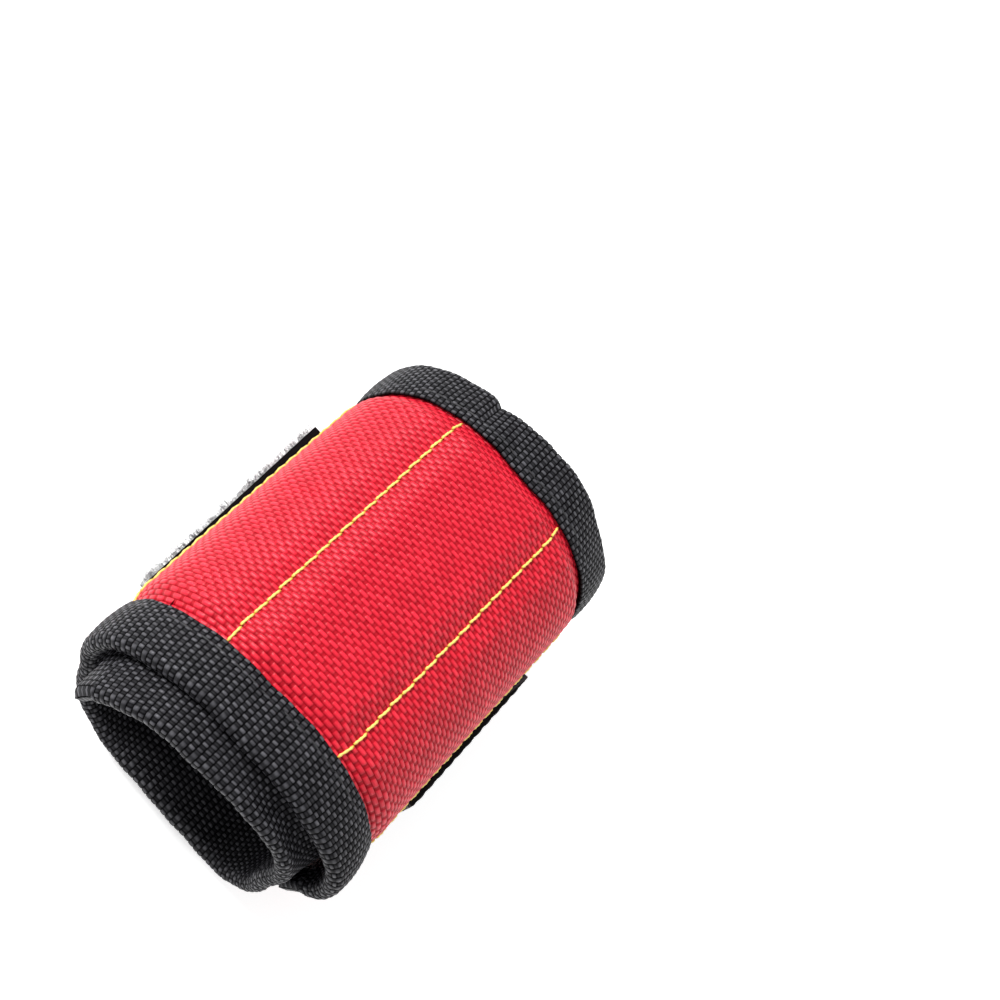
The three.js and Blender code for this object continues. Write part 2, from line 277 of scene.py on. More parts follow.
def skin(name, s, x, out, material, relief=None, tone_and_shade=None, rise=band_rise, shift=band_shift, extras=()):
    # a closed sewn piece: each row is its section, running over the top towards high x and back below
    x = np.broadcast_to(x, (len(s), np.shape(x)[-1]))
    out = np.broadcast_to(out, x.shape)
    s = s[:, None]
    relief = np.zeros(x.shape) if relief is None else relief
    dx = np.roll(x, -1, 1) - np.roll(x, 1, 1)
    dout = np.roll(out, -1, 1) - np.roll(out, 1, 1)
    length = np.maximum(np.hypot(dx, dout), 1e-6)
    points = lay(x - dout / length * relief, out + dx / length * relief, s, rise, shift)
    rows, count = x.shape
    i, j = np.meshgrid(np.arange(rows - 1), np.arange(count), indexing="ij")
    i, j = i.ravel(), j.ravel()
    corner = np.stack([np.stack([i, i + 1, i + 1, i], 1), np.stack([j, j, j + 1, j + 1], 1)], -1)
    faces = (corner[..., 0] * count + corner[..., 1] % count).tolist()
    faces += [list(range(count)), list(range(rows * count - 1, (rows - 1) * count - 1, -1))]
    across = np.concatenate([[0], np.cumsum(np.hypot(np.diff(x[0]), np.diff(out[0])))])
    across = np.append(across, across[-1] + 1)
    face = np.interp(s[:, 0], TRACK, FACE)
    cloth = np.stack([face[corner[..., 0]], across[corner[..., 1]]], -1).reshape(-1, 2)
    first = np.stack([np.full(count, face[0]), across[:-1]], 1)
    last = np.stack([np.full(count, face[-1]), across[:-1]], 1)[::-1]
    cloth = np.concatenate([cloth, first, last])
    spread = (cloth - cloth.min(0)) / max(np.ptp(cloth, 0)) * 0.98 + 0.01
    # the tone for the shaders is the given one, or else the relief, so that lower places get painted shade
    points, tones_and_shades = points.reshape(-1, 3), (relief if tone_and_shade is None else tone_and_shade).ravel()
    slots = [0] * len(faces)
    for more_points, more_faces, more_tone, slot in extras:
        more_faces = np.asarray(more_faces)
        faces += (more_faces + len(points)).tolist()
        slots += [slot] * len(more_faces)
        points = np.concatenate([points, more_points])
        tones_and_shades = np.concatenate([tones_and_shades, np.full(len(more_points), more_tone)])
        loose = np.zeros((more_faces.size, 2))
        cloth, spread = np.concatenate([cloth, loose]), np.concatenate([spread, loose])
    materials = material if isinstance(material, (list, tuple)) else [material]
    maps = {"cloth": cloth} if extras else {"cloth": cloth, "OFBake": spread}
    return make_object(name, points, faces, maps, tones_and_shades, materials, slots)


def fabric(name, high, low, rough, shine, grain=7.0, mottle=0.08, bump=0.2, bite=1.0, weave=None):
    # woven or knitted cloth: painted shade between the yarns, where the colour goes to the deep one and the
    # shine goes out, the full colour and shine on their tops, uneven dye and fine filaments; the other
    # finishes of the band are made the same way, with a coarser grain
    made = bpy.data.materials.new(name)
    made.use_nodes = True
    tree = made.node_tree
    shader = tree.nodes["Principled BSDF"]
    cloth = add_node(tree, "ShaderNodeUVMap", uv_map="cloth")
    depth = add_node(tree, "ShaderNodeAttribute", attribute_name="relief").outputs["Fac"]
    fine = add_node(tree, "ShaderNodeTexNoise", Scale=grain, Detail=3.0)
    wide = add_node(tree, "ShaderNodeTexNoise", Scale=0.22, Detail=4.0)
    tree.links.new(cloth.outputs[0], fine.inputs["Vector"])
    tree.links.new(cloth.outputs[0], wide.inputs["Vector"])
    tops = fine.outputs["Fac"]
    # on a knitted cloth, the mortar of a brick pattern stands for the gaps between its yarns: it sets the
    # bump and puts painted shade there
    if weave:
        knit = add_node(tree, "ShaderNodeTexBrick", offset=0.5, Scale=1.0)
        yarns = {"Brick Width": weave[0], "Row Height": weave[1], "Mortar Size": 0.16, "Mortar Smooth": 1}
        for socket, value in yarns.items():
            knit.inputs[socket].default_value = value
        tree.links.new(cloth.outputs[0], knit.inputs["Vector"])
        raised = add_node(tree, "ShaderNodeMath", operation="SUBTRACT")
        raised.inputs[0].default_value = 1
        tree.links.new(knit.outputs["Fac"], raised.inputs[1])
        depth = raised.outputs[0]
        blend = add_node(tree, "ShaderNodeMath", operation="MULTIPLY_ADD")
        blend.inputs[1].default_value = 0.25
        tree.links.new(fine.outputs["Fac"], blend.inputs[0])
        tree.links.new(depth, blend.inputs[2])
        tops = blend.outputs[0]
    # painted shade: the deep colour where the yarns lie low, the full colour on their tops; bite makes the
    # change sharper
    shade_mask = add_node(tree, "ShaderNodeMath", operation="POWER")
    shade_mask.inputs[1].default_value = bite
    tree.links.new(depth, shade_mask.inputs[0])
    depth = shade_mask.outputs[0]
    tone_and_shade = add_node(tree, "ShaderNodeMix", data_type="RGBA")
    tone_and_shade.inputs[6].default_value = (*low, 1)
    tone_and_shade.inputs[7].default_value = (*high, 1)
    tree.links.new(depth, tone_and_shade.inputs[0])
    dye = add_node(tree, "ShaderNodeMapRange")
    dye.inputs["From Min"].default_value = 0.3
    dye.inputs["From Max"].default_value = 0.7
    dye.inputs["To Min"].default_value = 1 - mottle
    dye.inputs["To Max"].default_value = 1 + mottle
    tree.links.new(wide.outputs["Fac"], dye.inputs["Value"])
    shade = add_node(tree, "ShaderNodeVectorMath", operation="MULTIPLY")
    tree.links.new(tone_and_shade.outputs[2], shade.inputs[0])
    tree.links.new(dye.outputs[0], shade.inputs[1])
    tree.links.new(shade.outputs[0], shader.inputs["Base Color"])
    gloss = add_node(tree, "ShaderNodeMapRange")
    gloss.inputs["To Min"].default_value = rough - 0.08
    gloss.inputs["To Max"].default_value = rough + 0.1
    tree.links.new(fine.outputs["Fac"], gloss.inputs["Value"])
    tree.links.new(gloss.outputs[0], shader.inputs["Roughness"])
    # painted shade on the shine as well: less shiny where the yarns lie low
    shaded_shine = add_node(tree, "ShaderNodeMath", operation="MULTIPLY")
    shaded_shine.inputs[1].default_value = shine
    tree.links.new(depth, shaded_shine.inputs[0])
    tree.links.new(shaded_shine.outputs[0], shader.inputs["Specular IOR Level"])
    hollow = add_node(tree, "ShaderNodeBump", Strength=bump, Distance=0.00015)
    tree.links.new(tops, hollow.inputs["Height"])
    tree.links.new(hollow.outputs[0], shader.inputs["Normal"])
    return made


# where each long piece is parted: half way along a pocket, so that each part after the strap spans one stitch
# row
CLOTH_SHORT = 0.9  # cover and lining end this far inside the end tapes
CLOTH_FROM = INNER_END + CLOTH_SHORT
STRAP_TO = 147.9
CLOTH_TO = TAIL_END - CLOTH_SHORT
MIDDLES = [(low + high) / 2 for low, high in zip(ROWS, ROWS[1:])]
PARTS = (
    ("strap", CLOTH_FROM, STRAP_TO, "strap", None),
    ("fold_1", STRAP_TO, MIDDLES[0], "strap", "pocket_1"),
    ("fold_2", MIDDLES[0], MIDDLES[1], "pocket_1", "pocket_2"),
    ("fold_3", MIDDLES[1], MIDDLES[2], "pocket_2", "pocket_3"),
    ("tail", MIDDLES[2], CLOTH_TO, "pocket_3", None),
)
STANDS_FOR = {
    "strap": "strap", "strap_inner": "strap", "strap_below": "strap",
    "fold_1": "pocket_1", "fold_2": "pocket_2", "fold_3": "pocket_3", "tail": "tail",
}
FOLD_REACH, FOLD_OUT = 3.2, 2.6


def bend_at(piece, first, second, s, reach, out, rise=band_rise):
    # bakes the piece's placement into its mesh; the piece is not bent, nor joined to either body
    far = out + float(rise(np.array([s]))[0])
    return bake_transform(piece)


def join_band(piece, part, first, second):
    # a part rides on one stretch of the band; one that spans the stitch row between two is baked in place and
    # not bent
    if second is None:
        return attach(piece, first)
    return bend_at(piece, first, second, ROWS[int(part[-1]) - 1], FOLD_REACH, FOLD_OUT)


# the second colour is painted shade in the gaps of its knit
lining_cloth = fabric("lining_nylon", (0.022, 0.022, 0.025), (0.008, 0.008, 0.009), 0.6, 0.3,
                      mottle=0.12, bump=0.5, weave=(0.9, 0.45))
CLOTH_HALF = 42.6
LINING_THICK = 0.6
LINING_STEP = 1.2
LINING_COLUMNS = 60
lining_x = np.linspace(-CLOTH_HALF, CLOTH_HALF, LINING_COLUMNS)
lining_out = np.concatenate([np.full(LINING_COLUMNS, LINING_THICK), np.zeros(LINING_COLUMNS)])
for part, start, end, first, second in PARTS:
    s = stations(start, end, LINING_STEP)
    lining = skin("lining_" + part, s, np.concatenate([lining_x, lining_x[::-1]]), lining_out, lining_cloth)
    join_band(lining, part, first, second)
    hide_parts(STANDS_FOR[part] + "_lining")

# Red cover: heavy plain-woven nylon, thick yarns over and under, drawn down at the stitch rows and under the
# edge tape. A cloth simulation blows it up over the three pockets, and it is woven yarn by yarn in the mesh.
YARN_ROUND = 1.33  # pitch, counted round the band
YARN_ALONG = 0.94  # pitch, counted along the axis
YARN_CROSS = -0.18  # lift of the yarns that lie along the axis
LONG_RUN = 0.75  # share of the yarns round the band that shows
YARN_HEIGHT = 0.4
YARN_LEVEL = 0.24  # sinks the yarns, so that the cover keeps its height
# shares of a yarn at which its points lie
LONG_PLACES, CLOSE_PLACES = (0, 0.1, 0.4, 0.5, 0.75), (0, 0.1, 0.5, 0.9)
TAPE_INNER = 34  # inner edge of the edge tape
TAPE_GRIP = 34.2  # the tape holds the cover down from here
WOVEN_HALF = 35.8  # the cover is plain beyond this, under the tape
SEWN_DOWN = 1.4  # height of the cover where it is sewn
STRAP_SWELL = 1.2
TAIL_SWELL = 1.25
TAIL_SLOPE = 3.2
OUTER_SLOPE = 9  # length of the slope at the first and last stitch rows
INNER_SLOPE = 4.6  # and at the two rows between
LEAST_PUFF = 1.15  # the cover stays above the boards
PUFF_ROUND = 0.15  # rounds off that limit
EDGE_RISE = 5  # length of the slope beside the edge tape
END_RISE_FROM = 7  # the slope at the inner end
END_RISE_TO = 11
SLOPE_FROM = -0.8  # below 0, so that two slopes meet in a crease at their row
COVER_THICK = 0.55
COVER_LOWEST = 0.75  # its underside stays above the lining
COVER_PLAIN = 40  # one plain column between the woven part and the edge
COLUMNS_BELOW = 24
STITCH = 3.3  # pitch of the stitch rows
DIMPLES_FROM = 150
DIMPLE_DEEP = 0.07
DIMPLE_REACH = 1.1


def weave(u, v, wide, deep, cross, run=0.5):
    # yarns along u lie deep apart and go over and under yarns along v, which lie wide apart; run is the
    # share of their length that shows, and cross lifts the yarns along v. Gives the height, 0 to 1, and the
    # tone for the shaders: painted shade, darker where the yarns lie low, with a little random tone
    j = np.floor(v / deep)
    turn = u / (2 * wide) + 0.5 * np.mod(j, 2)
    i = np.floor(turn)
    place, fv = turn - i, v / deep - j
    over = place < run - 1e-6
    fu = np.where(over, place / run, (place - run) / (1 - run))
    way, flatness, rounding = np.where(over, 1, -1), 0.22, 0.65
    along = (0.5 + 0.5 * (way * np.sin(np.pi * np.clip(fu, 0, 1)) ** flatness) - cross) * (
        1 - rounding * (2 * fv - 1) ** 6)
    across = (0.5 - 0.5 * way * np.sin(np.pi * fv) ** flatness + cross) * (1 - rounding * (2 * fu - 1) ** 6)
    height = np.maximum(along, across) / (1 + abs(cross))
    # a share from 0 to 1 for each crossing, so that no two yarns are quite alike
    chance = np.modf(np.abs(np.sin(12.9898 * (2 * i + ~over) + 78.233 * j)) * 43758.5453)[0]
    # painted shade: the yarns that lie lower are darker
    lower_yarn_shade = np.where((along > across) == (cross < 0), 1, 1 - 0.6 * abs(cross))
    return height * (0.92 + 0.08 * chance), height * (0.85 + 0.15 * chance) * lower_yarn_shade


def blown_cover():
    # heights of the slack cover over the pockets, simulated flat and ten times life size: the cloth is held
    # at the stitch rows and the tapes, is a little longer than the gaps between them, and is pressed outwards
    per_metre, slack, pressure, frames, plain_puff = 100, 0.01, 2, 25, 1.65
    rows, columns = 17, 53
    s = np.concatenate([np.linspace(low, high, rows)[low > ROWS[0]:] for low, high in zip(ROWS, ROWS[1:])])
    x = np.linspace(-TAPE_GRIP, TAPE_GRIP, columns)
    sewn = np.abs(s[:, None] - np.array(ROWS)).min(1) < 0.01
    held = (np.abs(x) > TAPE_INNER)[None] | sewn[:, None]
    start = np.where(held, 0, 0.3 + 0.3 * np.sin(0.21 * x[None] + 0.33 * s[:, None]))
    grid = np.stack(np.broadcast_arrays(x[None], s[:, None] - s.mean(), start), -1)
    points = grid.reshape(-1, 3) / per_metre
    corner = np.arange(held.size).reshape(held.shape)
    corners = np.stack([corner[:-1, :-1], corner[:-1, 1:], corner[1:, 1:], corner[1:, :-1]], -1)
    mesh = bpy.data.meshes.new("slack_cover")
    mesh.from_pydata(points.tolist(), [], corners.reshape(-1, 4).tolist())
    sheet = bpy.data.objects.new("slack_cover", mesh)
    bpy.context.scene.collection.objects.link(sheet)
    sheet.vertex_groups.new(name="held").add(np.flatnonzero(held).tolist(), 1, "REPLACE")
    cloth = sheet.modifiers.new("cloth", "CLOTH").settings
    cloth.vertex_group_mass = "held"
    cloth.shrink_min = -slack
    cloth.use_pressure = True
    cloth.uniform_pressure_force = pressure
    cloth.effector_weights.gravity = 0
    for step in range(1, frames + 1):
        bpy.context.scene.frame_set(step)
    solved = np.empty(points.size, np.float32)
    sheet.evaluated_get(bpy.context.evaluated_depsgraph_get()).data.vertices.foreach_get("co", solved)
    bpy.data.objects.remove(sheet)
    bpy.context.scene.frame_set(1)
    return x, s, solved.reshape(*held.shape, 3)[..., 2] * per_metre


BLOWN_X, BLOWN_S, BLOWN = blown_cover()


def blown_height(x, s):
    # the simulated heights between the points of their grid, as a smooth surface
    height = 0
    taps = []
    for value, grid in ((s, BLOWN_S), (x, BLOWN_X)):
        place = np.interp(value, grid, np.arange(len(grid)))
        base = np.minimum(place.astype(int), len(grid) - 2)
        t = place - base
        shares = ((1 - t) ** 3, 3 * t ** 3 - 6 * t ** 2 + 4, -3 * t ** 3 + 3 * t ** 2 + 3 * t + 1, t ** 3)
        taps.append([(np.clip(base + k - 1, 0, len(grid) - 1), share / 6) for k, share in enumerate(shares)])
    for row, row_share in taps[0]:
        for column, column_share in taps[1]:
            height = height + BLOWN[row, column] * row_share * column_share
    return height


def cover_height(x, s):
    # top of the red cover above the inner face of the lining
    risen = smooth(TAPE_GRIP - np.abs(x), 0, EDGE_RISE)
    strap_end = smooth(s, INNER_END + END_RISE_FROM, INNER_END + END_RISE_TO)
    edge = np.min([np.abs(s - row) for row in ROWS], 0)
    outer = (s < ROWS[0] + OUTER_SLOPE) | (s > ROWS[3] - OUTER_SLOPE)
    fullness = np.where(s < ROWS[0], 0, smooth(edge, SLOPE_FROM, np.where(outer, OUTER_SLOPE, INNER_SLOPE)))
    dimple = DIMPLE_DEEP * np.exp(-(edge / DIMPLE_REACH) ** 2) * np.cos(2 * np.pi * x / STITCH)
    puff = 0.5 + 0.5 * blown_height(x, s)
    puff = (puff + LEAST_PUFF + np.hypot(puff - LEAST_PUFF, PUFF_ROUND)) / 2
    full = STRAP_SWELL * strap_end + fullness * puff - np.where(s > DIMPLES_FROM, dimple, 0)
    full = np.where(s > ROWS[3], TAIL_SWELL * (1 - smooth(s - ROWS[3], 0, TAIL_SLOPE)), full)
    return SEWN_DOWN + full * risen


# the second colour is painted shade: it goes between the yarns and over the whole underside
red_cloth = fabric("red_nylon", (0.97, 0.018, 0.049), (0.22, 0.000, 0.002), 0.4, 0.48, grain=9.0, bite=1.85)
# the strap's cover is parted at the right of the oval and below it, to keep each mesh small
STRAP_COVER_ENDS = (CLOTH_FROM, 55, 101, STRAP_TO)
STRAP_COVERS = tuple((name, start, end, "strap", None) for name, start, end in zip(
    ("strap_inner", "strap_below", "strap"), STRAP_COVER_ENDS, STRAP_COVER_ENDS[1:]))
cover_x = np.concatenate([[-CLOTH_HALF, -COVER_PLAIN],
                          spaced(-WOVEN_HALF, WOVEN_HALF, YARN_ALONG, CLOSE_PLACES),
                          [COVER_PLAIN, CLOTH_HALF]])
below = np.linspace(CLOTH_HALF, -CLOTH_HALF, COLUMNS_BELOW)
for part, start, end, first, second in STRAP_COVERS + PARTS[1:]:
    s = stations(start, end, YARN_ROUND, LONG_PLACES)
    top = cover_height(cover_x[None], s[:, None])
    bottom = np.maximum(cover_height(below[None], s[:, None]) - COVER_THICK, COVER_LOWEST)
    # the underside is plain, and its tone of 0 gives it the full painted shade
    plain = np.zeros(bottom.shape)
    face = np.interp(s, TRACK, FACE)[:, None]
    yarns, tone_and_shade = weave(face, cover_x[None], YARN_ROUND, YARN_ALONG, YARN_CROSS, LONG_RUN)
    cover = skin("cover_" + part, s, np.concatenate([cover_x, below]),
                 np.concatenate([top - YARN_LEVEL, bottom], 1), red_cloth,
                 np.concatenate([YARN_HEIGHT * yarns, plain], 1), np.concatenate([tone_and_shade, plain], 1))
    join_band(cover, part, first, second)
    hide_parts(STANDS_FOR[part] + "_shell")
    length = np.ptp(np.interp([start, end], TRACK, FACE))

# Edge tape: black nylon tape, woven with ribs across it, folded over both long edges of the band and sewn
# through with one row of black thread near its inner edge.
TAPE_RIB = 1.33  # pitch, counted round the band
TAPE_YARN = 0.67  # pitch, counted across the tape
RIB_LIFT = 0.12
RIB_HEIGHT = 0.36
# shares of a rib or yarn at which its points lie
PLACES = (0, 0.14, 0.5, 0.86)
TAPE_TOP = 2.3
TAPE_UNDER = -0.9
TAPE_FLAT = 9.4  # from the inner edge to the rim
TAPE_RIM = 1.6
TAPE_WIDE = 10
TAPE_CROWN = 0.45  # height of the crown over that width
UNDER_RIM = 1.7  # the lower half ends this far from the outer edge
INSIDE_RIM = 0.9  # and the inside of the fold this far
RIM_POINTS = 28
TOP_UNEVEN = 0.15
INNER_UNEVEN = 0.35
OUTER_UNEVEN = 0.3
INSIDE_TOP = 1.6
INSIDE_UNDER = -0.2
INSIDE_POINTS = 5
INSIDE_RIB = 0.3
LIP_SHARE = 0.02
LIP_OUT = -0.35
INSIDE_SHARE = 0.05
RIM_AT = 9.38  # where the rim starts, along the section
TAPE_LENGTH = 24.12  # and where the lower half ends
END_OVERLAP = 6.5  # the edge tapes end this far from the ends of the band
PINCH_AT = 175
PINCH_DEEP = 1.2
PINCH_BEFORE = 0.7
PINCH_AFTER = 4.5
PINCH_SINK = 0.5  # the pinch also draws the top down, towards the rim
SINK_FROM = 3
SINK_TO = 7
SEAM_IN = 2.2  # from the inner edge of the tape
SEAM_PITCH = 2.9
SEAM_LONG = 2.5
SEAM_SLANT = 0.12
SEAM_SUNK = 0.02
SEAM_ARCH = 0.22
SEAM_FROM = 1.2
SEAM_TO = 2.2
SEAM_POINTS = 7
SEAM_THREAD = 0.2
SEAM_SIDES = 6
SEAM_TONE = 0.8
# the second colour, black, is painted shade between the ribs of the edge tapes, the end tapes and the hook
# tab's back
tape_black = fabric("tape_nylon", (0.105, 0.103, 0.117), (0.000, 0.000, 0.000), 0.4, 0.36, grain=9.0,
                    mottle=0.15, bite=4.0)
thread_black = fabric("thread_black", (0.030, 0.030, 0.033), (0.012, 0.012, 0.013), 0.5, 0.4)


def wander(s, seed):
    # a slow uneven drift, for edges that are not quite straight
    return sum(np.sin(s * k + seed * (3 + k)) * a for k, a in ((0.17, 0.5), (0.41, 0.3), (0.93, 0.2)))


def tube(path, radius, sides, twist=0.0, plies=0):
    # a thread along a path, as points and faces; with plies set, so many twisted strands show
    ahead = np.gradient(path, axis=0)
    ahead /= np.linalg.norm(ahead, axis=1)[:, None]
    aside = np.cross(ahead, np.roll(ahead[0], 1) + (0.1, 0.2, 0.3))
    aside /= np.linalg.norm(aside, axis=1)[:, None]
    third = np.cross(ahead, aside)
    angle = np.arange(sides) * 2 * np.pi / sides
    turn = np.linspace(0, twist, len(path))[:, None]
    size = radius * (1 + (0.22 * np.cos(plies * (angle[None] - turn)) if plies else 0 * turn))
    ring = path[:, None] + size[..., None] * (
        np.cos(angle)[None, :, None] * aside[:, None] + np.sin(angle)[None, :, None] * third[:, None])
    i, j = np.meshgrid(np.arange(len(path) - 1), np.arange(sides), indexing="ij")
    i, j, k = i.ravel(), j.ravel(), (j.ravel() + 1) % sides
    quads = np.stack([i * sides + j, i * sides + k, (i + 1) * sides + k, (i + 1) * sides + j], 1)
    return ring.reshape(-1, 3), quads


def gather(parts):
    # many threads as one list of points and one of faces
    points, faces, total = [], [], 0
    for more_points, more_faces in parts:
        points.append(more_points)
        faces.append(more_faces + total)
        total += len(more_points)
    return np.concatenate(points), np.concatenate(faces)


def tape_top(across, s, side):
    # crowned a little between its two edges
    crown = TAPE_CROWN * np.sin(np.pi * np.clip(across / TAPE_WIDE, 0, 1))
    return TAPE_TOP + crown + TOP_UNEVEN * wander(s, 2 + side)


for side, edge in ((-1, "elbow"), (1, "hand")):
    for part, start, end, first, second in PARTS:
        start = INNER_END + END_OVERLAP if part == "strap" else start
        end = TAIL_END - END_OVERLAP if part == "tail" else end
        s = stations(start, end, TAPE_RIB, PLACES)
        inner = TAPE_INNER + INNER_UNEVEN * wander(s, side)[:, None]
        # one sharp pinch in the tape of the edge at high x
        past = s - PINCH_AT
        pinch = np.exp(-np.where(past < 0, -past / PINCH_BEFORE, past / PINCH_AFTER))[:, None] * (side > 0)
        outer = BAND_HALF + OUTER_UNEVEN * wander(s, side + 5)[:, None] - PINCH_DEEP * pinch
        flat = np.append(0, spaced(0, TAPE_FLAT, TAPE_YARN, PLACES))[None]
        turn = np.linspace(0, np.pi, RIM_POINTS)[None]
        # its section: over the top, round the rim, back below, and the inside of the fold
        top_x = inner + flat * (outer - TAPE_RIM - inner) / flat[0, -1]
        top_out = tape_top(flat, s[:, None], side) - PINCH_SINK * pinch * smooth(flat, SINK_FROM, SINK_TO)
        high = top_out[:, -1:]
        radius = (high - TAPE_UNDER) / 2
        rim_x = outer - TAPE_RIM + TAPE_RIM * np.sin(turn)
        rim_out = high - radius + radius * np.cos(turn)
        under_x = inner + flat[:, ::-1] * (outer - UNDER_RIM - inner) / flat[0, -1]
        share = np.concatenate([[LIP_SHARE], np.linspace(INSIDE_SHARE, 1, INSIDE_POINTS),
                                np.linspace(1, INSIDE_SHARE, INSIDE_POINTS)])
        inside_x = share[None] * (outer - INSIDE_RIM - inner) + inner
        inside_out = np.concatenate([[LIP_OUT], np.full(INSIDE_POINTS, INSIDE_UNDER),
                                     np.full(INSIDE_POINTS, INSIDE_TOP)])[None] + 0 * inner
        x = np.concatenate([top_x, rim_x, under_x, inside_x], 1)
        out = np.concatenate([top_out, rim_out, np.full(under_x.shape, TAPE_UNDER), inside_out], 1)
        length = np.concatenate([flat[0], RIM_AT + TAPE_RIM * turn[0], TAPE_LENGTH - flat[0, ::-1],
                                 0 * share])[None]
        ribs, tone_and_shade = weave(np.interp(s, TRACK, FACE)[:, None], length, TAPE_RIB, TAPE_YARN, RIB_LIFT)
        ribs = np.where(np.arange(x.shape[1]) < x.shape[1] - len(share), ribs, INSIDE_RIB)
        seam = []
        for place in np.arange(start + SEAM_FROM, end - SEAM_TO, SEAM_PITCH):
            t = np.linspace(0, 1, SEAM_POINTS)
            at = place + SEAM_LONG * t
            x_seam = side * (np.interp(at, s, inner[:, 0]) + SEAM_IN + SEAM_SLANT * (t - 0.5))
            out_seam = tape_top(SEAM_IN, at, side) - SEAM_SUNK + SEAM_ARCH * np.sin(np.pi * t)
            seam.append(tube(lay(x_seam, out_seam, at), SEAM_THREAD * MM, SEAM_SIDES))
        if side < 0:
            x, out, ribs, tone_and_shade = -x[:, ::-1], out[:, ::-1], ribs[:, ::-1], tone_and_shade[:, ::-1]
        tape = skin(f"edge_tape_{edge}_{part}", s, x, out, [tape_black, thread_black],
                    RIB_HEIGHT * ribs, tone_and_shade, extras=[(*gather(seam), SEAM_TONE, 1)])
        join_band(tape, part, first, second)
        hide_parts(f"{STANDS_FOR[part]}_binding_{edge}")

# End tape: the same black nylon tape folded over the two short ends of the band, across its whole width, so
# that it covers the cut ends of cover and lining and lies under the ends of the edge tapes.
END_DEEP = 7
END_FLAT = 5.8
END_RIM = 1.2
END_RIM_POINTS = 16
END_RIB_HEIGHT = 0.18
END_CORNER = 1.6
END_MIDDLE = 0.7
END_ROUND = 1.6
END_INSIDE = 1
END_FADE = 1.61  # a little more than the corner, so that some thickness is left there
END_THINNEST = 0.02
for name, end, way, body, node in (("end_tape_inner", INNER_END, 1, "strap", "strap_end_binding"),
                                   ("end_tape_tail", TAIL_END, -1, "pocket_3", "tail_end_binding")):
    top_s = END_DEEP - np.append(0, spaced(0, END_FLAT, TAPE_YARN, PLACES))
    turn = np.linspace(0, np.pi, END_RIM_POINTS)
    inside_s = np.linspace(END_DEEP, END_INSIDE, INSIDE_POINTS)
    section_s = np.concatenate([top_s, END_RIM - END_RIM * np.sin(turn), top_s[::-1],
                                inside_s, inside_s[::-1]])
    section_out = np.concatenate([np.full(len(top_s), TAPE_TOP), END_MIDDLE + END_ROUND * np.cos(turn),
                                  np.full(len(top_s), TAPE_UNDER), np.full(INSIDE_POINTS, INSIDE_UNDER),
                                  np.full(INSIDE_POINTS, INSIDE_TOP)])
    along = np.concatenate([[-BAND_HALF], spaced(-BAND_HALF, BAND_HALF, TAPE_RIB, PLACES), [BAND_HALF]])
    length = np.concatenate([[0], np.cumsum(np.hypot(np.diff(section_s), np.diff(section_out)))])
    ribs, tone_and_shade = weave(along[:, None], length[None], TAPE_RIB, TAPE_YARN, RIB_LIFT)
    woven = np.arange(len(section_s)) < len(section_s) - 2 * INSIDE_POINTS
    bulge = np.where(woven, END_RIB_HEIGHT, 0)[None] * ribs
    rise = section_out[None] - END_MIDDLE
    # thinner towards its two corners
    past = np.clip(np.abs(along) - (BAND_HALF - END_CORNER), 0, END_CORNER) / END_FADE
    thin = np.sqrt(np.clip(1 - past ** 2, END_THINNEST, 1))[:, None]
    points = lay(along[:, None] + 0 * section_s[None],
                 END_MIDDLE + (rise + bulge * np.sign(rise)) * thin,
                 end + way * section_s[None] + 0 * along[:, None])
    rows, count = ribs.shape
    i, j = np.meshgrid(np.arange(rows - 1), np.arange(count), indexing="ij")
    i, j, k = i.ravel(), j.ravel(), (j.ravel() + 1) % count
    quads = np.stack([i * count + j, i * count + k, (i + 1) * count + k, (i + 1) * count + j], 1)
    caps = [list(range(count - 1, -1, -1)), list(range((rows - 1) * count, rows * count))]
    quads = quads.tolist() + caps
    if way < 0:
        quads = [face[::-1] for face in quads]
    corners = np.concatenate([np.asarray(face) for face in quads])
    cloth = np.stack([along[corners // count], length[corners % count]], 1)
    end_tape = make_object(name, points.reshape(-1, 3), quads, {"cloth": cloth}, tone_and_shade.ravel(), [tape_black])
    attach(end_tape, body)
    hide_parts(node)

# Stitch rows: yellow bonded two-ply thread sewn through all layers by machine, in long stitches that lean a
# little and dip into their needle holes.
ROW_HALF = 33.6
ROW_STITCHES = 20
STITCH_POINTS = 12
STITCH_SIDES = 8
STITCH_GAP = 0.1
STITCH_LONG = 3.15
THREAD = 0.25
STITCH_SLANT = 0.2
STITCH_UNEVEN = 0.05
STITCH_LIFT = 0.06
STITCH_ARCH = 0.16
